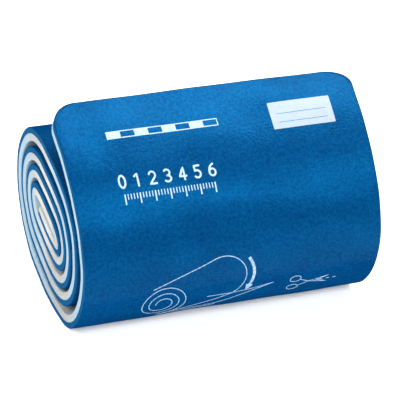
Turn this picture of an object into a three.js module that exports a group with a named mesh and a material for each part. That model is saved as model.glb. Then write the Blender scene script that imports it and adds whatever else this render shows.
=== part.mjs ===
// A padded splint, rolled up for storage: one strip of two bonded foam layers, blue outside and
// white inside, wound five times round a flat fold, with its free end springing off the roll.
// +X runs along the roll's axis, -Y is the front, where the free end lies, and +Z is up.
import * as THREE from "three";

// Driving dimensions, in millimetres
const strip_width = 101.6; // across the strip, along the roll's axis
const strip_length = 609.6; // along the strip, from the inner end to the free end
const outer_foam = 2.1; // blue layer, on the outside of the roll
const inner_foam = 2.5; // white layer, on the inside
const bond_gap = 0.1; // glue line between the two layers
const turn_gap = 0.1; // least air between one turn and the next
const corner_radius = 8.5; // the free end's two corners
const inner_corner_radius = 1; // the inner end's two corners
const edge_bevel = 0.5; // open edge of each layer
const fold_reach = 9.8; // half the length of the flat fold in the core
const free_end = 50; // stretch of strip that has sprung off the roll
const turn_drift = 0.2; // how far along the axis each turn lies from the one inside it
const rest_flat = 1.25; // how far the outer turn is pressed up where the roll rests
const label_length = 21.4; // along the roll's axis
const label_height = 9.4; // along the strip
const label_thickness = 0.3;
const label_gap = 0.1; // glue under the label
const label_from_side = 9.9; // from the strip's right edge
const label_from_end = 8.8; // from the free end's edge

// Angles, in degrees, and rates
const fold_tilt = -13.6; // the fold's slope, its front end low
const start_angle = -110; // winding angle of the inner end, from the fold's front end
const leg_roundness = 0.12; // 0 gives straight legs beside the fold, 1 nearly round turns
const spring_rate = 1.72; // radius that the free end gains along its length
const bend_fill = 0.8; // share of a bend's radius that the inner layer may fill
const fold_fill = 0.97; // share of the way to the fold's middle that it may fill

// Air between each turn and the one inside it, beyond turn_gap, as shares of the strip's pitch.
// The columns are the four sides of the oval, in the order in which the strip is wound.
const winding = [
  { back_end: 0.9, back_leg: 0, front_end: 0, front_leg: 0.4 },
  { back_end: 0, back_leg: 0.5, front_end: 0, front_leg: 0 },
  { back_end: 0.45, back_leg: 0.15, front_end: 0.15, front_leg: 0.6 },
  { back_end: 0, back_leg: 0.6, front_end: 0.5, front_leg: 0.5 },
];

// Fineness of the surfaces
const stations_per_side = 15; // for each quarter of a turn
const leg_crowding = 0.5; // draws the stations together on the legs, which have little angle
const corner_steps = 5;
const free_end_step = 3;
const label_step = 1.5;
const trace_step = 0.5; // degrees between the points from which lengths are measured
const free_trace_step = 0.75; // length between those points on the free end
const corner_clear = 1; // least length from a rounded corner to the next section
const least_slant = 1e-6; // keeps the fold's clamp from dividing by nothing

const pitch = outer_foam + bond_gap + inner_foam + turn_gap;
const rad = THREE.MathUtils.degToRad;

// How far the joint between the layers lies from the fold's middle line, one value for each
// quarter of a turn: the core's own half thickness, then each value a pitch and its air outside
// the one a full turn earlier. The first of them is at the back end, half a turn before angle 0.
const core_half = inner_foam + turn_gap;
const air = winding.flatMap((turn) => [turn.back_end, turn.back_leg, turn.front_end, turn.front_leg]);
const quarters = 4; // in a turn
const quarter = 360 / quarters; // degrees
const quarters_before = 2; // from the first value to winding angle 0
const reach = Array(quarters).fill(core_half);

function reachAt(index) {
  while (reach.length <= index) {
    const share = air[Math.min(reach.length - quarters, air.length - 1)];
    reach.push(reach.at(-quarters) + pitch * (1 + share));
  }
  return reach[Math.max(index, 0)];
}

// A cubic B-spline through the quarter-turn values never dips between them, so the turns stay apart.
function smoothReach(angle) {
  const place = angle / quarter + quarters_before;
  const index = Math.floor(place);
  const t = place - index;
  const weights = [(1 - t) ** 3, 3 * t ** 3 - 6 * t ** 2 + 4, -3 * t ** 3 + 3 * t ** 2 + 3 * t + 1, t ** 3];
  return weights.reduce((sum, weight, i) => sum + (weight / 6) * reachAt(index - 1 + i), 0);
}

// Distance from the fold's middle to the tangent whose outward normal is at this winding angle.
function tangentDistance(angle) {
  const along = Math.cos(rad(angle));
  const flat = Math.sqrt(along ** 2 + leg_roundness ** 2) - leg_roundness;
  return smoothReach(angle) + fold_reach * flat;
}

// The point, outward normal and radius of the joint between the layers, seen along the axis:
// u runs to the front along the fold and v up across it.
function windingPoint(angle) {
  const h = tangentDistance(angle);
  const before = tangentDistance(angle - trace_step);
  const after = tangentDistance(angle + trace_step);
  const slope = (after - before) / (2 * rad(trace_step));
  const bend = (after - 2 * h + before) / rad(trace_step) ** 2;
  const [c, s] = [Math.cos(rad(angle)), Math.sin(rad(angle))];
  return { angle, u: h * c - slope * s, v: h * s + slope * c, radius: h + bend };
}

// The whole strip as closely spaced points, each with its length from the inner end.
function traceStrip() {
  const points = [{ ...windingPoint(start_angle), length: 0 }];
  const lift_off = strip_length - free_end;
  for (let i = 1; points.at(-1).length < lift_off; i++) {
    const last = points.at(-1);
    const next = windingPoint(start_angle + i * trace_step);
    points.push({ ...next, length: last.length + Math.hypot(next.u - last.u, next.v - last.v) });
  }
  const spring = points.at(-1);
  const steps = Math.ceil((strip_length - spring.length) / free_trace_step);
  const step = (strip_length - spring.length) / steps;
  for (let i = 1; i <= steps; i++) {
    const last = points.at(-1);
    const radius = spring.radius + spring_rate * (i - 0.5) * step;
    const angle = last.angle + THREE.MathUtils.radToDeg(step / radius);
    const heading = rad((last.angle + angle) / 2 + quarter);
    points.push({
      angle,
      u: last.u + step * Math.cos(heading),
      v: last.v + step * Math.sin(heading),
      radius,
      length: last.length + step,
    });
  }
  return points;
}

const trace = traceStrip();

// The traced strip at a given length from the inner end.
function stripAt(length) {
  let high = trace.findIndex((point) => point.length >= length);
  if (high < 0) high = trace.length - 1;
  high = Math.max(high, 1);
  const [a, b] = [trace[high - 1], trace[high]];
  const t = (length - a.length) / (b.length - a.length);
  const mix = (key) => THREE.MathUtils.lerp(a[key], b[key], t);
  return { angle: mix("angle"), u: mix("u"), v: mix("v"), radius: mix("radius") };
}

// Which way is out and up at a point of the strip, and how far the inner layer reaches inwards
// there: in the first fold it is squeezed between the fold's two sides and round its bend.
function frameAt(length) {
  const point = stripAt(length);
  const direction = rad(point.angle + fold_tilt);
  const tilt = rad(fold_tilt);
  const front = point.u * Math.cos(tilt) - point.v * Math.sin(tilt);
  const up = point.u * Math.sin(tilt) + point.v * Math.cos(tilt);
  let inward = Math.min(inner_foam + bond_gap / 2, bend_fill * point.radius);
  if (point.angle < quarter) {
    const slant = Math.max(Math.abs(Math.sin(rad(point.angle))), least_slant);
    inward = Math.min(inward, (fold_fill * Math.abs(point.v)) / slant);
  }
  const last_angle = trace.at(-1).angle;
  return {
    front,
    up,
    out_front: Math.cos(direction),
    out_up: Math.sin(direction),
    inward,
    drift: (turn_drift * (point.angle - last_angle)) / (quarters * quarter),
  };
}

// The floor lies rest_flat above the lowest point that the unpressed roll would have.
const outward = bond_gap / 2 + outer_foam;
const heights = trace.map((point) => {
  const frame = frameAt(point.length);
  return frame.up + outward * frame.out_up;
});
const floor = Math.min(...heights) + rest_flat;

// A place on the strip, given along the axis and outwards from the joint between the layers.
// Where the outer face would reach below the floor, the whole strip is pressed up by that much.
function place(frame, along, out) {
  const press = Math.max(0, floor - frame.up - outward * frame.out_up);
  return new THREE.Vector3(
    along + frame.drift,
    -(frame.front + out * frame.out_front),
    frame.up + out * frame.out_up + press - floor,
  );
}

// The strip's half width at a length, less at its rounded corners.
function halfWidth(length) {
  const radius = length < strip_length / 2 ? inner_corner_radius : corner_radius;
  const from_end = Math.max(0, Math.min(length, strip_length - length));
  const short = Math.max(0, radius - from_end);
  return strip_width / 2 - radius + Math.sqrt(radius ** 2 - short ** 2);
}

// Distances from an end at which its rounded corners get a section.
function cornerStations(radius) {
  const stations = [];
  for (let i = 0; i <= corner_steps; i++) {
    stations.push(radius * (1 - Math.cos(((i / corner_steps) * Math.PI) / 2)));
  }
  return stations;
}

// Lengths at which the strip gets a section: crowded on the legs, finer at the rounded corners.
function stripStations() {
  const free_corners = cornerStations(corner_radius).map((x) => strip_length - x);
  const lengths = [...cornerStations(inner_corner_radius), ...free_corners];
  const first = inner_corner_radius + corner_clear;
  const last = strip_length - corner_radius - corner_clear;
  const inside = (x) => x > first && x < last;
  const lift_off = strip_length - free_end;
  const last_quarter = Math.ceil(stripAt(lift_off).angle / quarter);
  for (let i = -quarters_before * stations_per_side; i <= last_quarter * stations_per_side; i++) {
    const turned = i / stations_per_side;
    const angle = quarter * (turned + (leg_crowding * Math.sin(Math.PI * turned)) / Math.PI);
    const at = trace.findIndex((point) => point.angle >= angle);
    if (at < 1 || trace[at].length > lift_off) continue;
    const [a, b] = [trace[at - 1], trace[at]];
    const length = THREE.MathUtils.mapLinear(angle, a.angle, b.angle, a.length, b.length);
    if (inside(length)) lengths.push(length);
  }
  const free_steps = Math.ceil(free_end / free_end_step);
  for (let i = 0; i <= free_steps; i++) {
    const length = lift_off + (i * free_end) / free_steps;
    if (inside(length)) lengths.push(length);
  }
  return lengths.sort((a, b) => a - b);
}

// A closed solid swept through rings of points that all have the same count, with flat ends.
function sweptSolid(rings) {
  const count = rings[0].length;
  const positions = rings.flat().flatMap((point) => [point.x, point.y, point.z]);
  const faces = [];
  for (let r = 0; r + 1 < rings.length; r++) {
    for (let i = 0; i < count; i++) {
      const [a, b] = [r * count + i, r * count + ((i + 1) % count)];
      faces.push(a, b, b + count, a, b + count, a + count);
    }
  }
  const last = (rings.length - 1) * count;
  for (let i = 1; i + 1 < count; i++) {
    faces.push(0, i + 1, i, last, last + i, last + i + 1);
  }
  const geometry = new THREE.BufferGeometry();
  geometry.setAttribute("position", new THREE.Float32BufferAttribute(positions, 3));
  geometry.setIndex(faces);
  return geometry;
}

// One section of the outer layer, with the edges of its open face bevelled.
function outerRing(length) {
  const frame = frameAt(length);
  const half = halfWidth(length);
  const at = (along, out) => place(frame, along, out);
  return [
    at(-half, bond_gap / 2),
    at(-half, outward - edge_bevel),
    at(-half + edge_bevel, outward),
    at(half - edge_bevel, outward),
    at(half, outward - edge_bevel),
    at(half, bond_gap / 2),
  ];
}

// One section of the inner layer, with the edges of its open face bevelled.
function innerRing(length) {
  const frame = frameAt(length);
  const half = halfWidth(length);
  const at = (along, out) => place(frame, along, out);
  return [
    at(-half + edge_bevel, -frame.inward),
    at(-half, -frame.inward + edge_bevel),
    at(-half, -bond_gap / 2),
    at(half, -bond_gap / 2),
    at(half, -frame.inward + edge_bevel),
    at(half - edge_bevel, -frame.inward),
  ];
}

const blue_foam = new THREE.MeshStandardMaterial({ color: 0x0a62ab, roughness: 0.55, metalness: 0 });
const white_foam = new THREE.MeshStandardMaterial({ color: 0xe3e4e6, roughness: 0.75, metalness: 0 });
const label_film = new THREE.MeshStandardMaterial({ color: 0xf4f6f8, roughness: 0.4, metalness: 0 });

function outerFoam() {
  const mesh = new THREE.Mesh(sweptSolid(stripStations().map(outerRing)), blue_foam);
  mesh.name = "outer_foam";
  return mesh;
}

function innerFoam() {
  const mesh = new THREE.Mesh(sweptSolid(stripStations().map(innerRing)), white_foam);
  mesh.name = "inner_foam";
  return mesh;
}

// The label follows the free end's curve, on top of the outer layer.
function labelPanel() {
  const right = strip_width / 2 - label_from_side;
  const left = right - label_length;
  const start = strip_length - label_from_end - label_height;
  const steps = Math.ceil(label_height / label_step);
  const under = outward + label_gap;
  const rings = [];
  for (let i = 0; i <= steps; i++) {
    const frame = frameAt(start + (i * label_height) / steps);
    const at = (along, out) => place(frame, along, out);
    const top = under + label_thickness;
    rings.push([at(left, under), at(left, top), at(right, top), at(right, under)]);
  }
  const mesh = new THREE.Mesh(sweptSolid(rings), label_film);
  mesh.name = "label_panel";
  return mesh;
}

// Sets the origin under the middle of the roll's box, on the surface that it rests on.
const roll = new THREE.Group();
roll.add(outerFoam(), innerFoam(), labelPanel());
const box = new THREE.Box3().setFromObject(roll);
const middle = box.getCenter(new THREE.Vector3());
roll.position.set(-middle.x, -middle.y, -box.min.z);

const splint = new THREE.Group();
splint.add(roll);

export default splint;
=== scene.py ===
"""A rolled padded splint: the finished surfaces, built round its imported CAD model.

The strip is wound by the same rule as in the CAD model, in millimetres, and its two foam layers are
made here with rounded edges, soft dents and fine skin. The prints are thin films on the same surface.
"""

import math
import random

import bpy
import numpy as np
from mathutils import Matrix, Vector


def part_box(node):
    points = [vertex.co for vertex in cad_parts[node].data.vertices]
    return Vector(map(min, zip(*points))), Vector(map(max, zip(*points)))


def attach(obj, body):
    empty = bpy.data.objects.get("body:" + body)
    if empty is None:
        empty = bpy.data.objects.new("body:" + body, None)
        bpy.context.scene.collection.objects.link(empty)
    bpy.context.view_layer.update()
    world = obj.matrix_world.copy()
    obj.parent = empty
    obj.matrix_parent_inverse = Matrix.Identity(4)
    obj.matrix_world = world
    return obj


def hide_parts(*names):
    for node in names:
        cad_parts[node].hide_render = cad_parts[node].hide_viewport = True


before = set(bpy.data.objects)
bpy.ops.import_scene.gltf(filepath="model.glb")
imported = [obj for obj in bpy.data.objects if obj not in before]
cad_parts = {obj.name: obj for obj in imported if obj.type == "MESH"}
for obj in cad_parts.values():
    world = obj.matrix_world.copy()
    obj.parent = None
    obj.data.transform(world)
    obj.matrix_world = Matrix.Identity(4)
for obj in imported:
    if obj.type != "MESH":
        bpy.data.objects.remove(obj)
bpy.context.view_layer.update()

MM = 0.001  # metres in a millimetre

# The strip and its roll, in millimetres
STRIP_WIDTH = 101.6
STRIP_LENGTH = 609.6
STRIP_END = STRIP_LENGTH + 0.9  # the foam's free end gives a little, so it reaches further
OUTER_FOAM = 2.1  # blue layer, on the outside of the roll
INNER_FOAM = 2.5  # white layer, on the inside
BOND_GAP = 0.1  # glue line between the two layers
TURN_GAP = 0.1  # least air between one turn and the next
LEFT_CORNER = (9.0, 9.0)  # the free end's corner at -X: its width across the strip and its length
RIGHT_CORNER = (10.0, 6.0)  # and at +X
INNER_CORNER = (1.0, 1.0)  # both corners of the inner end
FOLD_REACH = 9.8  # half the length of the flat fold in the core
FREE_END = 50  # stretch of strip that has sprung off the roll
RELAXED = 60  # stretch at the free end that widens, because it isn't wound tight
FLARE = 0.021  # its widening at the end, as a share
LEAN = -0.5  # and how far it leans to the left there
TURN_DRIFT = 0.2  # how far along the axis each turn lies from the one inside it
REST_FLAT = 0.8  # how far the roll is pressed down, softly, to the same height as in the CAD model
REST_SOFT = 1.6  # height over the floor in which the press fades out

# Angles, in degrees, and rates
FOLD_TILT = -13.6  # the fold's slope, its front end low
START_ANGLE = -110  # winding angle of the inner end, from the fold's front end
FOLD_END = 90  # winding angle up to which the white layer is squeezed in the fold
LEG_ROUNDNESS = 0.12  # 0 gives straight legs beside the fold, 1 nearly round turns
SPRING_RATE = 1.72  # radius that the free end gains along its length
BEND_FILL = 0.8  # share of a bend's radius that the white layer may fill
FOLD_FILL = 0.97  # share of the way to the fold's middle that it may fill

# Fineness of the course
QUARTERS = 4  # in a turn
QUARTER = 360 / QUARTERS  # degrees
QUARTERS_BEFORE = 2  # from the first reach value to winding angle 0
REACH_COUNT = 30  # reach values, enough for the whole strip
TRACE_STEP = 0.5  # degrees between the points from which lengths are measured
TRACE_COUNT = 3400  # enough of those points for the whole strip
FREE_END_STEP = 0.75  # length between them on the free end
LEAST_SLANT = 1e-6  # keeps the fold's clamp from dividing by nothing

# Air between the turns as shares of the pitch, a row for each turn:
# back end, back leg, front end, front leg
WINDING = [
    (0.9, 0, 0, 0.4),
    (0, 0.5, 0, 0),
    (0.45, 0.15, 0.15, 0.6),
    (0, 0.6, 0.5, 0.5),
]

# Finish of the foam, in millimetres
BLUE_ROUND = 0.45  # rounding of the blue layer's open edges
WHITE_ROUND = 0.4  # rounding of the white layer's open edges
FOLD_ROUND = 0.08  # and where it is squeezed in the fold
ROUND_FADE = 120  # degrees of winding after the fold over which it grows round
ROUND_STEPS = 6
WALL_STEPS = 4
JOINT_GAP = 0.01  # between the two layers
ALONG_STEP = 1.0  # between sections along the strip
ACROSS_STEP = 1.8  # between points across the strip
CORNER_STEPS = 12
EDGE_WANDER = 0.06  # how far the cut sides wander in and out
EDGE_CROWN = 0.1  # how far the white layer's cut side bulges

PITCH = OUTER_FOAM + BOND_GAP + INNER_FOAM + TURN_GAP
OUTWARD = BOND_GAP / 2 + OUTER_FOAM

# The strip's course


def reach_values():
    """How far the joint between the layers lies from the fold's middle line, for each quarter turn."""
    air = [share for turn in WINDING for share in turn]
    values = [INNER_FOAM + TURN_GAP] * QUARTERS
    while len(values) < REACH_COUNT:
        share = air[min(len(values) - QUARTERS, len(air) - 1)]
        values.append(values[-QUARTERS] + PITCH * (1 + share))
    return np.array(values)


REACH = reach_values()


def smooth_reach(angle):
    """A cubic B-spline over the quarter-turn values, which never dips between them."""
    place = angle / QUARTER + QUARTERS_BEFORE
    index = np.floor(place).astype(int)
    t = place - index
    weights = [
        (1 - t) ** 3,
        3 * t**3 - 6 * t**2 + 4,
        -3 * t**3 + 3 * t**2 + 3 * t + 1,
        t**3,
    ]
    return sum(w / 6 * REACH[np.maximum(index - 1 + i, 0)] for i, w in enumerate(weights))


def tangent_distance(angle):
    """From the fold's middle to the tangent whose outward normal is at this winding angle."""
    along = np.cos(np.radians(angle))
    flat = np.sqrt(along**2 + LEG_ROUNDNESS**2) - LEG_ROUNDNESS
    return smooth_reach(angle) + FOLD_REACH * flat


def trace_strip():
    """The joint between the layers as close points: angle, u along the fold, v across, radius, length."""
    angle = START_ANGLE + TRACE_STEP * np.arange(TRACE_COUNT)
    h = tangent_distance(angle)
    before = tangent_distance(angle - TRACE_STEP)
    after = tangent_distance(angle + TRACE_STEP)
    step = math.radians(TRACE_STEP)
    slope = (after - before) / (2 * step)
    radius = h + (after - 2 * h + before) / step**2
    c, s = np.cos(np.radians(angle)), np.sin(np.radians(angle))
    u, v = h * c - slope * s, h * s + slope * c
    length = np.concatenate([[0], np.cumsum(np.hypot(np.diff(u), np.diff(v)))])
    last = int(np.argmax(length >= STRIP_LENGTH - FREE_END))
    rows = list(zip(angle, u, v, radius, length))[: last + 1]
    spring_radius, spring_length = rows[-1][3], rows[-1][4]
    steps = math.ceil((STRIP_END - spring_length) / FREE_END_STEP)
    step = (STRIP_END - spring_length) / steps
    for i in range(1, steps + 1):
        a, u0, v0, _, done = rows[-1]
        bend = spring_radius + SPRING_RATE * (i - 0.5) * step
        turned = a + math.degrees(step / bend)
        heading = math.radians((a + turned) / 2 + 90)
        u1, v1 = u0 + step * math.cos(heading), v0 + step * math.sin(heading)
        rows.append((turned, u1, v1, bend, done + step))
    return np.array(rows).T


TRACE_ANGLE, TRACE_U, TRACE_V, TRACE_RADIUS, TRACE_LENGTH = trace_strip()


def course(length):
    """Where the joint between the layers is at each length, and which way is out there.

    inward is how far the white layer reaches in from it, and drift how far it lies along the axis.
    """
    angle, u, v, radius = (
        np.interp(length, TRACE_LENGTH, values)
        for values in (TRACE_ANGLE, TRACE_U, TRACE_V, TRACE_RADIUS)
    )
    tilt = math.radians(FOLD_TILT)
    direction = np.radians(angle) + tilt
    inward = np.minimum(INNER_FOAM + BOND_GAP / 2, BEND_FILL * radius)
    slant = np.maximum(np.abs(np.sin(np.radians(angle))), LEAST_SLANT)
    folded = np.minimum(inward, FOLD_FILL * np.abs(v) / slant)
    return {
        "front": u * math.cos(tilt) - v * math.sin(tilt),
        "up": u * math.sin(tilt) + v * math.cos(tilt),
        "out_front": np.cos(direction),
        "out_up": np.sin(direction),
        "inward": np.where(angle < FOLD_END, folded, inward),
        "drift": TURN_DRIFT * (angle - TRACE_ANGLE[-1]) / 360,
    }


def lowest_point():
    at = course(TRACE_LENGTH)
    return float(np.min(at["up"] + OUTWARD * at["out_up"]))


FLOOR = lowest_point() + REST_FLAT


def resting(height):
    """Bends heights over the floor into a soft, nearly flat patch where the foam is pressed."""
    return (height + np.sqrt(height**2 + REST_SOFT**2)) / 2


REST_LOW = resting(-REST_FLAT)


def raw_place(length, along, out):
    """Points on the strip, given along the axis and outwards from the joint between the layers."""
    at = course(length)
    skin = at["up"] + OUTWARD * at["out_up"] - FLOOR
    x = along + at["drift"]
    y = -(at["front"] + out * at["out_front"])
    z = resting(skin) - REST_LOW + (out - OUTWARD) * at["out_up"]
    return np.stack(np.broadcast_arrays(x, y, z), axis=-1)


def roll_shift():
    """Moves the roll to where the CAD model has it: the middle of the blue layer's box, on the floor."""
    half = STRIP_WIDTH / 2
    corners = [raw_place(TRACE_LENGTH, side, out) for side in (-half, half) for out in (0, OUTWARD)]
    points = np.concatenate(corners)
    middle = (points.min(0) + points.max(0)) / 2
    low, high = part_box("outer_foam")
    target = (np.array(low) + np.array(high)) / (2 * MM)
    return np.array([target[0] - middle[0], target[1] - middle[1], 0])


SHIFT = roll_shift()


def place(length, along, out):
    """The same points where the CAD model has them, in metres, with the free end's flare."""
    points = raw_place(length, along, out) + SHIFT
    relaxed = np.clip(1 - (STRIP_END - length) / RELAXED, 0, 1) ** 2
    points[..., 0] += relaxed * (FLARE * along + LEAN)
    return points * MM


# Small shapes of the soft surface, in millimetres

WAVE_SPREAD = 0.5  # radians by which a wave may turn from its direction
CRESTS_ACROSS = 0.75  # share of the waves whose crests run across the strip
BAND_HEIGHT = 0.16
DENT_HEIGHT = 0.018
SHOWING = 230  # stretch at the free end whose skin is seen, and has the bands and dents
SHOWING_FADE = 30  # stretch over which they fade in
SIDE_FADE = 12  # width at the strip's sides over which they fade out
FLOOR_CLEAR = 4  # height over the floor in which they fade in


def waves(seed, count, longest, shortest):
    """A smooth random field of the strip's surface, about -1 to 1, from a few plane waves."""
    rng = random.Random(seed)
    terms = []
    for i in range(count):
        size = longest * (shortest / longest) ** (i / (count - 1))
        spread = rng.uniform(-WAVE_SPREAD, WAVE_SPREAD)
        turn = spread + (math.pi / 2 if rng.random() < CRESTS_ACROSS else 0)
        terms.append((2 * math.pi / size, turn, rng.uniform(0, 2 * math.pi)))

    def field(along, length):
        total = 0
        for rate, turn, phase in terms:
            total = total + np.sin(rate * (math.cos(turn) * along + math.sin(turn) * length) + phase)
        return total / math.sqrt(count)

    return field


SOFT_BANDS = waves(seed=4, count=4, longest=46, shortest=19)
SMALL_DENTS = waves(seed=9, count=7, longest=16, shortest=6)
SIDE_WANDER = waves(seed=21, count=5, longest=60, shortest=13)


def lift(along, length):
    """How far the blue skin of the outer turn stands proud of its plain surface."""
    height = raw_place(length, 0, OUTWARD)[..., 2]
    clear = np.clip(height / FLOOR_CLEAR, 0, 1)
    showing = np.clip((length - (STRIP_LENGTH - SHOWING)) / SHOWING_FADE, 0, 1)
    edge = np.clip((STRIP_WIDTH / 2 - np.abs(along)) / SIDE_FADE, 0, 1)
    dents = BAND_HEIGHT * SOFT_BANDS(along, length) + DENT_HEIGHT * SMALL_DENTS(along, length)
    return clear * showing * edge * dents


def no_lift(along, length):
    """The white layer's open face has no bands or dents."""
    return 0 * along


def corner_at(length, along):
    """The width and length of the corner that is nearest to this place on the strip."""
    inner, left = length < STRIP_LENGTH / 2, along < 0
    return [
        np.where(inner, at_core, np.where(left, at_left, at_right))
        for at_core, at_left, at_right in zip(INNER_CORNER, LEFT_CORNER, RIGHT_CORNER)
    ]


def half_width(length, side):
    """The strip's half width to the left, side -1, or to the right, side 1."""
    corner_width, corner_length = corner_at(length, side)
    from_end = np.clip(np.minimum(length, STRIP_END - length), 0, None)
    short = np.clip(1 - from_end / corner_length, 0, None)
    return STRIP_WIDTH / 2 - corner_width * (1 - np.sqrt(1 - short**2))


def from_outline(along, length):
    """Distance from a point of the strip to its outline, whose corners are rounded."""
    corner_width, corner_length = corner_at(length, along)
    to_side = STRIP_WIDTH / 2 - np.abs(along)
    to_end = np.minimum(length, STRIP_END - length)
    side_share, end_share = 1 - to_side / corner_width, 1 - to_end / corner_length
    in_corner = (side_share > 0) & (end_share > 0)
    rounded = (1 - np.hypot(side_share, end_share)) * np.minimum(corner_width, corner_length)
    return np.clip(np.where(in_corner, rounded, np.minimum(to_side, to_end)), 0, None)


def edge_drop(distance, radius):
    """How far a rounded edge falls below the face at this distance from the outline."""
    short = np.clip(radius - distance, 0, None)
    return radius - np.sqrt(np.clip(radius**2 - short**2, 0, None))


# Meshes


def mesh_object(name, points, faces, material, sharp_degrees=40):
    """A smooth mesh, with sharp edges where its faces turn by more than sharp_degrees."""
    mesh = bpy.data.meshes.new(name)
    mesh.from_pydata([tuple(p) for p in points], [], faces)
    mesh.validate()
    mesh.update()
    mesh.polygons.foreach_set("use_smooth", [True] * len(mesh.polygons))
    mesh.set_sharp_from_angle(angle=math.radians(sharp_degrees))
    mesh.materials.append(material)
    obj = bpy.data.objects.new(name, mesh)
    bpy.context.scene.collection.objects.link(obj)
    return obj


def swept(name, rings, material):
    """A closed body through rings of points, an array of rings by points by 3, with flat ends."""
    count_rings, count = rings.shape[:2]
    faces = []
    for r in range(count_rings - 1):
        for i in range(count):
            a, b = r * count + i, r * count + (i + 1) % count
            faces.append((a, b, b + count, a + count))
    last = (count_rings - 1) * count
    faces.append(tuple(range(count - 1, -1, -1)))
    faces.append(tuple(range(last, last + count)))
    return mesh_object(name, rings.reshape(-1, 3), faces, material)


def round_insets(radius, steps):
    """Distances from an edge that space points evenly round a quarter circle."""
    return radius * (1 - np.cos(np.linspace(0, math.pi / 2, steps + 1)))


def end_stations(*corners):
    """Distances from an end of the sections at its rounded corners and its rounded edge."""
    insets = [round_insets(radius, CORNER_STEPS) for radius in corners]
    insets.append(round_insets(BLUE_ROUND, ROUND_STEPS))
    return np.unique(np.round(np.concatenate(insets), 2))


def strip_stations():
    """Lengths of the sections: even along the strip, closer at its ends."""
    inner = end_stations(INNER_CORNER[1])
    free = STRIP_END - end_stations(LEFT_CORNER[1], RIGHT_CORNER[1])
    steps = math.ceil((free.min() - inner.max()) / ALONG_STEP)
    middle = np.linspace(inner.max(), free.min(), steps + 1)[1:-1]
    return np.unique(np.concatenate([inner, middle, free]))


def layer_rings(open_out, joint_out, edge_round, proud, crown):
    """Sections of one layer: up one cut side, over the open face and down the other side.

    open_out and edge_round give the open face's distance from the joint and the rounding of its
    edges at each length, joint_out is the face towards the other layer, proud is added to the open
    face, and crown is how far the cut side bulges.
    """
    length = strip_stations()
    left, right = (half_width(length, side)[:, None] for side in (-1, 1))
    radius = edge_round(length)[:, None]
    insets = radius * round_insets(1, ROUND_STEPS)[None, :]
    columns = 2 * math.ceil(STRIP_WIDTH / 2 / ACROSS_STEP)
    shares = np.linspace(-1, 1, columns + 1)[None, 1:-1]
    middle = (right - left) / 2 + shares * ((left + right) / 2 - radius)
    along = np.concatenate([insets - left, middle, right - insets[:, ::-1]], axis=1)
    stretch = length[:, None]
    top = open_out(length)[:, None]
    sign = np.sign(top - joint_out)
    out = top - sign * edge_drop(from_outline(along, stretch), radius) + proud(along, stretch)
    wander = EDGE_WANDER * SIDE_WANDER(np.zeros_like(length), length)[:, None]
    depth = np.arange(WALL_STEPS)[None, :] / WALL_STEPS
    wall = joint_out + (out[:, :1] - joint_out) * depth
    bulge = crown * np.sin(math.pi * depth)
    left_wall = along[:, :1] - bulge + 0 * wall
    right_wall = along[:, -1:] + bulge + 0 * wall
    all_along = np.concatenate([left_wall, along, right_wall[:, ::-1]], axis=1) + wander
    all_out = np.concatenate([wall, out, wall[:, ::-1]], axis=1)
    rings = place(stretch, all_along, all_out)
    return rings if sign.flat[0] > 0 else rings[:, ::-1]


def white_round(length):
    """The white layer's edges are sharp in the fold, where its two sides meet, and round elsewhere."""
    angle = np.interp(length, TRACE_LENGTH, TRACE_ANGLE)
    share = np.clip((angle - FOLD_END) / ROUND_FADE, 0, 1)
    return FOLD_ROUND + (WHITE_ROUND - FOLD_ROUND) * share


def build_blue_foam(skin, cut):
    """The blue layer: its open face is skinned, and its cut sides and ends have a second material."""
    rings = layer_rings(
        lambda s: np.full_like(s, OUTWARD), JOINT_GAP / 2, lambda s: np.full_like(s, BLUE_ROUND), lift, 0
    )
    obj = swept("blue_foam_layer", rings, skin)
    obj.data.materials.append(cut)
    count = rings.shape[1]
    ends_from = (rings.shape[0] - 1) * count
    # Both cut sides with the first facet of each rounded edge, and the face towards the white layer
    walls = set(range(WALL_STEPS + 1)) | set(range(count - WALL_STEPS - 2, count))
    for polygon in obj.data.polygons:
        if polygon.index >= ends_from or polygon.index % count in walls:
            polygon.material_index = 1
    return obj


def build_white_foam(material):
    rings = layer_rings(lambda s: -course(s)["inward"], -JOINT_GAP / 2, white_round, no_lift, EDGE_CROWN)
    return swept("white_foam_layer", rings, material)


# Prints and the label, in millimetres, placed by x from the strip's left edge and by s, which is
# measured back from STRIP_LENGTH

PRINT_HEIGHT = 0.05  # of the ink's face over the skin
FILM_SINK = 0.03  # depth of a film's underside below the skin
FILM_SHARP = 30  # degrees over which a film's edge is sharp
STROKE_STEP = 0.5  # between sections along a line
BLOCK_STEP = 1.2  # between points across a filled shape
CAP_STEPS = 4  # in the quarter circle of a rounded end
CAP_TIP = 0.01  # half width of a rounded end at its tip


def film_point(x, s, height):
    """A point over the blue skin, at this height in millimetres above it."""
    along = np.asarray(x, float) - STRIP_WIDTH / 2
    length = STRIP_LENGTH - np.asarray(s, float)
    return place(length, along, OUTWARD + lift(along, length) + height)


def resampled(points, step):
    """The polyline's own points with more between them, so that none are further apart than step."""
    dense = [points[0]]
    for (x0, s0), (x1, s1) in zip(points, points[1:]):
        pieces = max(1, math.ceil(math.hypot(x1 - x0, s1 - s0) / step))
        shares = [i / pieces for i in range(1, pieces + 1)]
        dense += [(x0 + (x1 - x0) * share, s0 + (s1 - s0) * share) for share in shares]
    return np.array(dense)


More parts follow.
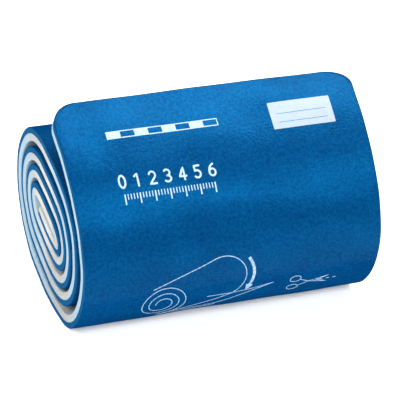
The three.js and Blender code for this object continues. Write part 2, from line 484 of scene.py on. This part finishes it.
class Film:
    """A thin printed film on the blue skin, gathered from strokes and filled shapes."""

    def __init__(self, height, sink=FILM_SINK):
        self.height = height
        self.sink = sink
        self.points = []
        self.faces = []

    def add(self, x, s, faces):
        """A flat shape given by its points and faces, thickened from sink below the skin to height."""
        count, first = len(x), len(self.points)
        self.points += list(film_point(x, s, self.height)) + list(film_point(x, s, -self.sink))
        edges = {(a, b) for face in faces for a, b in zip(face, face[1:] + face[:1])}
        rim = [(a, b) for a, b in edges if (b, a) not in edges]
        self.faces += [tuple(first + i for i in face) for face in faces]
        self.faces += [tuple(first + count + i for i in reversed(face)) for face in faces]
        self.faces += [(first + b, first + a, first + count + a, first + count + b) for a, b in rim]

    def stroke(self, points, width, ends="round"):
        """A line of even width along a polyline, closed if it ends where it starts."""
        path = resampled(points, STROKE_STEP)
        closed = bool(np.allclose(path[0], path[-1]))
        if closed:
            path = path[:-1]
            ahead = np.roll(path, -1, axis=0) - np.roll(path, 1, axis=0)
        else:
            ahead = np.gradient(path, axis=0)
        ahead /= np.linalg.norm(ahead, axis=1)[:, None]
        half = np.full(len(path), width / 2)
        if ends == "round" and not closed:
            turns = np.linspace(0, math.pi / 2, CAP_STEPS + 1)[:0:-1]
            reach, narrow = np.sin(turns) * width / 2, np.cos(turns) * width / 2 + CAP_TIP
            start = path[0] - reach[:, None] * ahead[0]
            end = path[-1] + reach[::-1, None] * ahead[-1]
            path = np.concatenate([start, path, end])
            ahead = np.pad(ahead, ((CAP_STEPS, CAP_STEPS), (0, 0)), mode="edge")
            half = np.concatenate([narrow, half, narrow[::-1]])
        side = np.stack([ahead[:, 1], -ahead[:, 0]], axis=1) * half[:, None]
        left, right = path + side, path - side
        count = len(path)
        both = np.concatenate([left, right])
        pairs = [(i, (i + 1) % count) for i in range(count if closed else count - 1)]
        self.add(both[:, 0], both[:, 1], [(i + count, j + count, j, i) for i, j in pairs])

    def block(self, x0, s0, x1, s1, corner=0.0):
        """A filled rectangle, its corners rounded, from sections across it."""
        steps = max(2, math.ceil((s1 - s0) / STROKE_STEP))
        ends = round_insets(corner, CAP_STEPS) if corner else np.zeros(1)
        between = np.linspace(s0 + corner, s1 - corner, steps)
        s = np.unique(np.concatenate([s0 + ends, between, s1 - ends]))
        short = np.clip(corner - np.minimum(s - s0, s1 - s), 0, None)
        inset = corner - np.sqrt(np.clip(corner**2 - short**2, 0, None))
        columns = max(1, math.ceil((x1 - x0) / BLOCK_STEP))
        share = np.linspace(0, 1, columns + 1)
        x = (x0 + inset)[:, None] + share[None, :] * (x1 - x0 - 2 * inset)[:, None]
        grid = np.broadcast_to(s[:, None], x.shape)
        wide = columns + 1
        faces = [
            (r * wide + c, (r + 1) * wide + c, (r + 1) * wide + c + 1, r * wide + c + 1)
            for r in range(len(s) - 1)
            for c in range(columns)
        ]
        self.add(x.ravel(), grid.ravel(), faces)

    def build(self, name, material):
        obj = mesh_object(name, self.points, self.faces, material, FILM_SHARP)
        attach(obj, "root")
        return obj


def arc(x, y, rx, ry, start, end, step=15):
    """Points round an ellipse, angles in degrees."""
    count = max(2, math.ceil(abs(end - start) / step))
    turns = [math.radians(start + (end - start) * i / count) for i in range(count + 1)]
    return [(x + rx * math.cos(t), y + ry * math.sin(t)) for t in turns]


# Strokes of plain numerals, as shares of their height, from the left of each one's foot
NUMERAL_WIDTH = 0.6
NUMERALS = {
    "0": [arc(0.3, 0.5, 0.25, 0.48, 0, 360)],
    "1": [[(0.1, 0.8), (0.34, 0.98), (0.34, 0.02)]],
    "2": [arc(0.3, 0.7, 0.25, 0.28, 160, -40) + [(0.05, 0.02), (0.56, 0.02)]],
    "3": [arc(0.28, 0.74, 0.24, 0.24, 140, -90), arc(0.28, 0.26, 0.27, 0.24, 90, -140)],
    "4": [[(0.42, 0.02), (0.42, 0.98), (0.03, 0.28), (0.58, 0.28)]],
    "5": [[(0.52, 0.98), (0.12, 0.98)] + arc(0.28, 0.31, 0.27, 0.29, 125, -140)],
    "6": [arc(0.3, 0.3, 0.25, 0.28, 0, 360), arc(0.57, 0.32, 0.52, 0.66, 178, 105)],
}


def numeral(film, text, x, foot, size, width):
    """One plain numeral, centred on x, with its foot at that s."""
    for stroke in NUMERALS[text]:
        film.stroke([(x + (a - NUMERAL_WIDTH / 2) * size, foot - b * size) for a, b in stroke], width)


# The measuring bar near the free end
BAR_START = 15.2
BAR_BLOCK = 4.6
BAR_BLOCKS = 8
BAR_TOP = 11.6
BAR_HEIGHT = 2.6
BAR_LINE = 0.32

# The ruler below it
RULER_START = 16.2  # the middle of the first numeral
RULER_SPACING = 5.0
RULER_NUMERALS = 7
RULER_FOOT = 30.4
RULER_SIZE = 4.0
RULER_STROKE = 0.62
RULER_LINE = 32.4  # where the ticks start
LONG_TICK = (3.2, 0.42)  # length and width
SHORT_TICK = (1.7, 0.3)
TICKS_BETWEEN = 5  # ticks from one numeral to the next


def build_scale(material):
    """A bar of equal blocks and a short ruler with plain numerals."""
    film = Film(PRINT_HEIGHT)
    foot = BAR_TOP + BAR_HEIGHT
    for i in range(0, BAR_BLOCKS, 2):
        left = BAR_START + i * BAR_BLOCK
        film.block(left, BAR_TOP, left + BAR_BLOCK, foot)
    for i in range(1, BAR_BLOCKS, 2):
        left = BAR_START + i * BAR_BLOCK
        film.block(left, BAR_TOP, left + BAR_BLOCK, BAR_TOP + BAR_LINE)
        film.block(left, foot - BAR_LINE, left + BAR_BLOCK, foot)
    end = BAR_START + BAR_BLOCKS * BAR_BLOCK
    film.block(end, BAR_TOP, end + BAR_LINE, foot)
    for i in range(RULER_NUMERALS):
        numeral(film, str(i), RULER_START + i * RULER_SPACING, RULER_FOOT, RULER_SIZE, RULER_STROKE)
    for i in range((RULER_NUMERALS - 1) * TICKS_BETWEEN + 1):
        x = RULER_START + i * RULER_SPACING / TICKS_BETWEEN
        tick_length, tick_width = SHORT_TICK if i % TICKS_BETWEEN else LONG_TICK
        film.stroke([(x, RULER_LINE), (x, RULER_LINE + tick_length)], tick_width, "flat")
    film.build("print_scale", material)


# The large line drawing, of a roll that is being unrolled, seen from one end
DRAWING_MIDDLE = (27.5, 71.5)
DRAWING_LINE = 0.28
ROLL_RADIUS = 8.6
ROLL_CORE = 2.2
ROLL_TURNS = 2.75
DEPTH = (19.0, -7.5)  # from the roll's near end to its far end
FAR_ROUND = (-118, 58)  # degrees of the far end's outline that show
STRIP_DRAWN = 19.0  # length of the strip that lies flat
STRIP_RISE = 2.0  # how far its end lifts
STRIP_THICK = 1.5
UPPER_START = (5.2, 0.1)  # where its upper line leaves the roll: right of the middle, and higher
FAR_START = 15.4  # where its far line comes out from behind the roll
SWEEP_ROUND = (-38, 22)  # degrees of the curved arrow
SWEEP_CLEAR = 2.6  # between it and the roll
SWEEP_LINE = 1.0
ARROW_SIZE = 3.0
ARROW_HALF = 0.42  # half its width as a share of its length
ARROW_TIP = 0.02  # half width at its tip
ARROW_ROWS = 5
CURVE_STEP = 8  # degrees between the points of the drawing's arcs
SPIRAL_STEP = 12  # and of its spiral


def spiral(middle):
    """Points of the drawn roll's spiral, from its core out to its lowest point."""
    x, s = middle
    count = math.ceil(ROLL_TURNS * 360 / SPIRAL_STEP)
    points = []
    for i in range(count + 1):
        share = i / count
        radius = ROLL_CORE + (ROLL_RADIUS - ROLL_CORE) * share
        bearing = math.radians(90 + 360 * ROLL_TURNS * (share - 1))
        points.append((x + radius * math.cos(bearing), s + radius * math.sin(bearing)))
    return points


def build_drawing(material):
    film = Film(PRINT_HEIGHT)
    x, s = DRAWING_MIDDLE
    dx, ds = DEPTH
    foot = s + ROLL_RADIUS
    lower = [(x + STRIP_DRAWN * t, foot - STRIP_RISE * t**3) for t in (0.25, 0.5, 0.75, 1)]
    upper = [(a, b - STRIP_THICK) for a, b in lower]
    far = [(a + dx, b + ds) for a, b in upper]
    leaves = (x + UPPER_START[0], foot - STRIP_THICK - UPPER_START[1])
    film.stroke(spiral(DRAWING_MIDDLE) + lower, DRAWING_LINE)
    film.stroke([leaves] + upper, DRAWING_LINE)
    film.stroke([lower[-1], upper[-1], far[-1]], DRAWING_LINE)
    film.stroke([(x + FAR_START, far[0][1])] + far, DRAWING_LINE)
    film.stroke(arc(x + dx, s + ds, ROLL_RADIUS, ROLL_RADIUS, *FAR_ROUND, CURVE_STEP), DRAWING_LINE)
    for bearing in FAR_ROUND:
        turn = math.radians(bearing)
        near = (x + ROLL_RADIUS * math.cos(turn), s + ROLL_RADIUS * math.sin(turn))
        film.stroke([near, (near[0] + dx, near[1] + ds)], DRAWING_LINE)
    radius = ROLL_RADIUS + SWEEP_CLEAR
    sweep = arc(x + dx, s + ds, radius, radius, *SWEEP_ROUND, CURVE_STEP)
    film.stroke(sweep, SWEEP_LINE, "flat")
    add_arrow_head(film, sweep)
    film.build("print_drawing", material)


def add_arrow_head(film, path):
    """A filled triangle at the end of the path, pointing the way the path goes."""
    (x0, s0), (x, s) = path[-2:]
    step = math.hypot(x - x0, s - s0)
    a, b = (x - x0) / step, (s - s0) / step
    points = []
    for i in range(ARROW_ROWS + 1):
        t = i / ARROW_ROWS
        spread = ARROW_SIZE * ARROW_HALF * (1 - t) + ARROW_TIP
        cx, cs = x + a * ARROW_SIZE * t, s + b * ARROW_SIZE * t
        points += [(cx - b * spread, cs + a * spread), (cx + b * spread, cs - a * spread)]
    faces = [(2 * i, 2 * i + 2, 2 * i + 3, 2 * i + 1) for i in range(ARROW_ROWS)]
    both = np.array(points)
    film.add(both[:, 0], both[:, 1], faces)


# The small line drawing, of scissors on a dashed line, from its middle
SCISSORS_MIDDLE = (79.5, 71.5)
SMALL_LINE = 0.24
GRIP_MIDDLE = (-6.2, 2.4)
GRIP_RADII = (1.9, 1.5)
BLADE_START = (-4.5, 1.8)
PIVOT = -1.0
BLADE_TIP = (5.6, 1.7)
BLADE_BACK = (1.6, 0.1)
DASH_START = 2.8
DASH_LENGTH = 1.2
DASH_SPACING = 2.4
DASHES = 3


def build_small_drawing(material):
    film = Film(PRINT_HEIGHT)
    x, s = SCISSORS_MIDDLE
    for side in (-1, 1):
        start = (x + BLADE_START[0], s + side * BLADE_START[1])
        tip = (x + BLADE_TIP[0], s - side * BLADE_TIP[1])
        back = (x + BLADE_BACK[0], s + side * BLADE_BACK[1])
        film.stroke(arc(x + GRIP_MIDDLE[0], s + side * GRIP_MIDDLE[1], *GRIP_RADII, 0, 360), SMALL_LINE)
        film.stroke([start, (x + PIVOT, s), tip], SMALL_LINE)
        film.stroke([tip, back], SMALL_LINE)
    for i in range(DASHES):
        left = x + DASH_START + i * DASH_SPACING
        film.stroke([(left, s), (left + DASH_LENGTH, s)], SMALL_LINE, "flat")
    film.build("print_small_drawing", material)


# The label
LABEL_FROM_SIDE = 9.9
LABEL_FROM_END = 8.8
LABEL_LENGTH = 21.4
LABEL_HEIGHT = 9.4
LABEL_CORNER = 0.35
LABEL_FILM = 0.12  # height of its face over the skin
RULE_MARGIN = 2.2
RULE_DROPS = (4.2, 7.2)  # of the two lines below the label's top
RULE_WIDTH = 0.22
RULE_FILM = 0.02  # how far the lines reach over and under the label's face


def build_label(film_stock, ink):
    """A blank white label with two ruled lines to write on."""
    right = STRIP_WIDTH - LABEL_FROM_SIDE
    left = right - LABEL_LENGTH
    label = Film(LABEL_FILM)
    label.block(left, LABEL_FROM_END, right, LABEL_FROM_END + LABEL_HEIGHT, LABEL_CORNER)
    panel = label.build("label", film_stock)
    rules = Film(LABEL_FILM + RULE_FILM, RULE_FILM - LABEL_FILM)
    for drop in RULE_DROPS:
        s = LABEL_FROM_END + drop
        rules.stroke([(left + RULE_MARGIN, s), (right - RULE_MARGIN, s)], RULE_WIDTH, "flat")
    rules.build("label_rules", ink)
    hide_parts("label_panel")


# Materials, with places in metres

BLUE_GLOSS = 0.06  # the blue skin's specular level where it is glossy
BLUE_SHEEN = 0.2  # and its metallic share there
DULL_BELOW = 0.019  # height at which the skin starts to turn glossy
GLOSSY_ABOVE = 0.030
DULL_BEHIND = 0.014  # and the same towards the front
GLOSSY_BEFORE = 0.002

CORE_POINT = (0.0, 0.003, 0.036)  # the middle of the roll's core
CORE_STRETCH = (0.0, 45.0, 25.0)  # how fast its painted brightness fades: along, to the front and up
ACROSS_LEGS = (0.0, 50.0, -27.0)  # the painted blue cast grows from the roll's top and bottom to its front and back
CUT_FADE = (0.040, 0.050)  # along the axis, where the cut sides' colours and their painted light come in
INK_RANGE = 0.22  # of the foam's grain, from worn ink to full


class Surface:
    """A material with one Principled shader, and small nodes that feed it."""

    def __init__(self, name, roughness, specular):
        self.material = bpy.data.materials.new(name)
        self.material.use_nodes = True
        self.nodes = self.material.node_tree.nodes
        self.links = self.material.node_tree.links
        self.inputs = self.nodes["Principled BSDF"].inputs
        self.inputs["Roughness"].default_value = roughness
        self.inputs["Specular IOR Level"].default_value = specular

    def feed(self, socket, value):
        """Sets a socket to a number, or links another node's output to it."""
        if isinstance(value, float):
            socket.default_value = value
        else:
            self.links.new(value, socket)

    def position(self):
        return self.nodes.new("ShaderNodeTexCoord").outputs["Object"]

    def noise(self, scale, detail, roughness):
        node = self.nodes.new("ShaderNodeTexNoise")
        node.inputs["Scale"].default_value = scale
        node.inputs["Detail"].default_value = detail
        node.inputs["Roughness"].default_value = roughness
        self.feed(node.inputs["Vector"], self.position())
        return node.outputs["Fac"]

    def ramp(self, value, low, high, start=0.3, end=0.7):
        """A colour from low to high as the value goes from start to end."""
        node = self.nodes.new("ShaderNodeValToRGB")
        node.color_ramp.elements[0].position = start
        node.color_ramp.elements[1].position = end
        node.color_ramp.elements[0].color = (*low, 1)
        node.color_ramp.elements[1].color = (*high, 1)
        self.feed(node.inputs["Fac"], value)
        return node.outputs["Color"]

    def faded(self, value, none_at, full_at):
        """0 to 1 as the value goes from one number to the other."""
        node = self.nodes.new("ShaderNodeMapRange")
        node.inputs["From Min"].default_value = none_at
        node.inputs["From Max"].default_value = full_at
        self.feed(node.inputs["Value"], value)
        return node.outputs["Result"]

    def blend(self, kind, factor, a, b):
        """Colour a blended with colour b by a number or another value."""
        node = self.nodes.new("ShaderNodeMix")
        node.data_type = "RGBA"
        node.blend_type = kind
        self.feed(node.inputs["Factor"], factor)
        self.feed(node.inputs["A"], a)
        self.feed(node.inputs["B"], b)
        return node.outputs["Result"]

    def times(self, a, b):
        return self.blend("MULTIPLY", 1.0, a, b)

    def maths(self, operation, value, other=0.0):
        node = self.nodes.new("ShaderNodeMath")
        node.operation = operation
        self.feed(node.inputs[0], value)
        self.feed(node.inputs[1], other)
        return node.outputs["Value"]

    def vector_maths(self, operation, vector, constant=(0.0, 0.0, 0.0)):
        node = self.nodes.new("ShaderNodeVectorMath")
        node.operation = operation
        self.feed(node.inputs[0], vector)
        node.inputs[1].default_value = constant
        return node.outputs

    def across(self, vector, direction):
        """How far the vector reaches along the direction, either way."""
        reach = self.vector_maths("DOT_PRODUCT", vector, direction)["Value"]
        return self.maths("ABSOLUTE", reach)

    def bump(self, value, strength, distance):
        node = self.nodes.new("ShaderNodeBump")
        node.inputs["Strength"].default_value = strength
        node.inputs["Distance"].default_value = distance
        self.feed(node.inputs["Height"], value)
        self.feed(self.inputs["Normal"], node.outputs["Normal"])


def blue_material():
    """Closed-cell foam with a satin skin: a fine pebble grain over faint cloudy patches."""
    surface = Surface("blue_foam", roughness=0.27, specular=BLUE_GLOSS)
    patches = surface.noise(70, 3, 0.55)
    base = surface.ramp(patches, (0.0009, 0.0435, 0.142), (0.0011, 0.056, 0.167))
    pebbles = surface.noise(1150, 4, 0.6)
    speckle = surface.ramp(pebbles, (0.50, 0.66, 0.74), (1.0, 1.0, 1.0), 0.38, 0.60)
    surface.feed(surface.inputs["Base Color"], surface.times(base, speckle))
    surface.bump(pebbles, strength=0.5, distance=0.0002)
    surface.inputs["Specular Tint"].default_value = (0.03, 1.0, 0.72, 1)
    axes = surface.nodes.new("ShaderNodeSeparateXYZ")
    surface.feed(axes.inputs["Vector"], surface.position())
    raised = surface.faded(axes.outputs["Z"], DULL_BELOW, GLOSSY_ABOVE)
    facing = surface.faded(axes.outputs["Y"], DULL_BEHIND, GLOSSY_BEFORE)
    polish = surface.maths("MULTIPLY", raised, facing)
    surface.feed(surface.inputs["Specular IOR Level"], surface.maths("MULTIPLY", polish, BLUE_GLOSS))
    surface.feed(surface.inputs["Metallic"], surface.maths("MULTIPLY", polish, BLUE_SHEEN))
    return surface.material


def cut_blue_material():
    """Blue foam where it was cut: matt, with open cells."""
    surface = Surface("cut_blue_foam", roughness=0.95, specular=0.02)
    cells = surface.noise(1500, 3, 0.6)
    base = surface.ramp(cells, (0.002, 0.056, 0.154), (0.004, 0.088, 0.214))
    surface.feed(surface.inputs["Base Color"], base)
    surface.bump(cells, strength=0.3, distance=0.0001)
    return surface.material


def white_material():
    """White foam with fine cells. Its cut sides have painted light: a painted blue cast at the roll's
    front and back, where thin rings of it lie between blue ones, and painted brightness at the core,
    which lifts the shade of its recess and gives way to painted shade further out.
    """
    surface = Surface("white_foam", roughness=0.85, specular=0.08)
    position = surface.position()
    from_core = surface.vector_maths("SUBTRACT", position, CORE_POINT)["Vector"]
    stretched = surface.vector_maths("MULTIPLY", from_core, CORE_STRETCH)["Vector"]
    distance = surface.vector_maths("LENGTH", stretched)["Value"]
    # Painted light and shade: brighter at the roll's core, against the shade of its recess, darker
    # further out.
    core = surface.ramp(distance, (0.86, 0.855, 0.845), (0.66, 0.67, 0.69), 0.3, 0.65)
    legs = surface.across(from_core, ACROSS_LEGS)
    # Painted blue light on the thin white rings at the front and back, passed on from the blue layers
    # beside them.
    painted_blue_cast = surface.ramp(legs, (0.59, 0.605, 0.59), (0.49, 0.675, 0.775), 0.4, 0.95)
    patches = surface.noise(150, 3, 0.6)
    shade = surface.ramp(patches, (0.88, 0.88, 0.88), (1.0, 1.0, 1.0))
    cut_side = surface.times(surface.times(shade, core), painted_blue_cast)
    open_face = surface.ramp(patches, (0.49, 0.50, 0.51), (0.56, 0.57, 0.58))
    near_end = surface.faded(surface.across(position, (1.0, 0.0, 0.0)), *CUT_FADE)
    base = surface.blend("MIX", near_end, open_face, cut_side)
    cells = surface.noise(2300, 2, 0.6)
    speckle = surface.ramp(cells, (0.86, 0.86, 0.86), (1.0, 1.0, 1.0), 0.34, 0.6)
    surface.feed(surface.inputs["Base Color"], surface.times(base, speckle))
    surface.bump(cells, strength=0.5, distance=0.0001)
    return surface.material


def ink_material(name, thin, full, worn_from):
    """Screen-printed ink, a little thinner where the foam's grain is low."""
    surface = Surface(name, roughness=0.45, specular=0.3)
    grain = surface.noise(1500, 2, 0.6)
    base = surface.ramp(grain, thin, full, worn_from, worn_from + INK_RANGE)
    surface.feed(surface.inputs["Base Color"], base)
    surface.bump(grain, strength=0.3, distance=0.00006)
    return surface.material


def label_material():
    """White label film with a faint grain."""
    surface = Surface("label_film", roughness=0.4, specular=0.4)
    grain = surface.noise(900, 3, 0.6)
    base = surface.ramp(grain, (0.24, 0.30, 0.36), (0.275, 0.34, 0.40))
    surface.feed(surface.inputs["Base Color"], base)
    surface.bump(grain, strength=0.15, distance=0.00005)
    return surface.material


# Stage

CAMERA_AIM = (0.82, -2.84, 31.81)  # millimetres, as is the distance
CAMERA_DISTANCE = 713.0
CAMERA_AZIMUTH = 21.93  # degrees, turned from +Y towards +X
CAMERA_ELEVATION = 29.01
CAMERA_ROLL = 2.86
CAMERA_LENS = 193.5
CAMERA_SENSOR = 36.0
CAMERA_CLIP = (0.05, 20)  # metres
SKY_STRENGTH = 0.25
FLOOR_GREY = 0.9
FLOOR_GLOW = 0.3
FLOOR_HALF = 3.0  # metres

# Soft boxes: bearing from the front towards the right, height above the horizon, distance,
# width and depth in metres, and power in watts
LIGHTS = {
    "overhead": (93, 69.5, 1.2, 0.55, 0.6, 13.6),
    "front_strip": (17, 41, 1.3, 0.9, 0.3, 8.6),
    "low_left": (-38, 34, 1.2, 0.7, 0.35, 9.5),
    "left": (-97, 42, 1.2, 0.5, 0.5, 7.0),
}


def floor_material():
    surface = Surface("floor", roughness=0.9, specular=0.0)
    surface.inputs["Base Color"].default_value = (FLOOR_GREY, FLOOR_GREY, FLOOR_GREY, 1)
    surface.inputs["Emission Color"].default_value = (1, 1, 1, 1)
    surface.inputs["Emission Strength"].default_value = FLOOR_GLOW
    return surface.material


def add_camera():
    turn, rise, roll = (math.radians(a) for a in (CAMERA_AZIMUTH, CAMERA_ELEVATION, CAMERA_ROLL))
    forward = Vector((math.sin(turn) * math.cos(rise), math.cos(turn) * math.cos(rise), -math.sin(rise)))
    level = Vector((math.cos(turn), -math.sin(turn), 0))
    upright = level.cross(forward)
    right = level * math.cos(roll) + upright * math.sin(roll)
    up = upright * math.cos(roll) - level * math.sin(roll)
    data = bpy.data.cameras.new("camera")
    data.lens = CAMERA_LENS
    data.sensor_width = CAMERA_SENSOR
    data.clip_start, data.clip_end = CAMERA_CLIP
    camera = bpy.data.objects.new("camera", data)
    location = (Vector(CAMERA_AIM) - forward * CAMERA_DISTANCE) * MM
    facing = Matrix((right, up, -forward)).transposed().to_4x4()
    camera.matrix_world = Matrix.Translation(location) @ facing
    bpy.context.scene.collection.objects.link(camera)
    bpy.context.scene.camera = camera


def add_light(name, bearing, height, distance, width, depth, power):
    turn, rise = math.radians(bearing), math.radians(height)
    towards = Vector((math.sin(turn) * math.cos(rise), -math.cos(turn) * math.cos(rise), math.sin(rise)))
    data = bpy.data.lights.new(name, "AREA")
    data.shape = "RECTANGLE"
    data.size = width
    data.size_y = depth
    data.energy = power
    light = bpy.data.objects.new(name, data)
    light.location = towards * distance
    light.rotation_euler = (-towards).to_track_quat("-Z", "Y").to_euler()
    bpy.context.scene.collection.objects.link(light)


def add_stage():
    corners = [(x * FLOOR_HALF, y * FLOOR_HALF, 0) for x, y in ((-1, -1), (1, -1), (1, 1), (-1, 1))]
    mesh_object("floor", corners, [(0, 1, 2, 3)], floor_material())
    world = bpy.data.worlds.new("studio")
    world.use_nodes = True
    background = world.node_tree.nodes["Background"].inputs
    background["Color"].default_value = (1, 1, 1, 1)
    background["Strength"].default_value = SKY_STRENGTH
    bpy.context.scene.world = world
    for name, values in LIGHTS.items():
        add_light(name, *values)
    bpy.context.scene.view_settings.view_transform = "Standard"


add_camera()
add_stage()

blue = build_blue_foam(blue_material(), cut_blue_material())
white = build_white_foam(white_material())
for piece, node, slot in ((blue, "outer_foam", "blue_foam"), (white, "inner_foam", "white_foam")):
    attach(piece, "root")
    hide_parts(node)

white_ink = ink_material("white_ink", (0.18, 0.31, 0.41), (0.34, 0.45, 0.51), 0.3)
pale_ink = ink_material("pale_ink", (0.10, 0.24, 0.40), (0.30, 0.42, 0.54), 0.36)
blue_ink = ink_material("blue_ink", (0.10, 0.24, 0.42), (0.03, 0.13, 0.32), 0.3)
build_scale(white_ink)
build_drawing(pale_ink)
build_small_drawing(pale_ink)
build_label(label_material(), blue_ink)
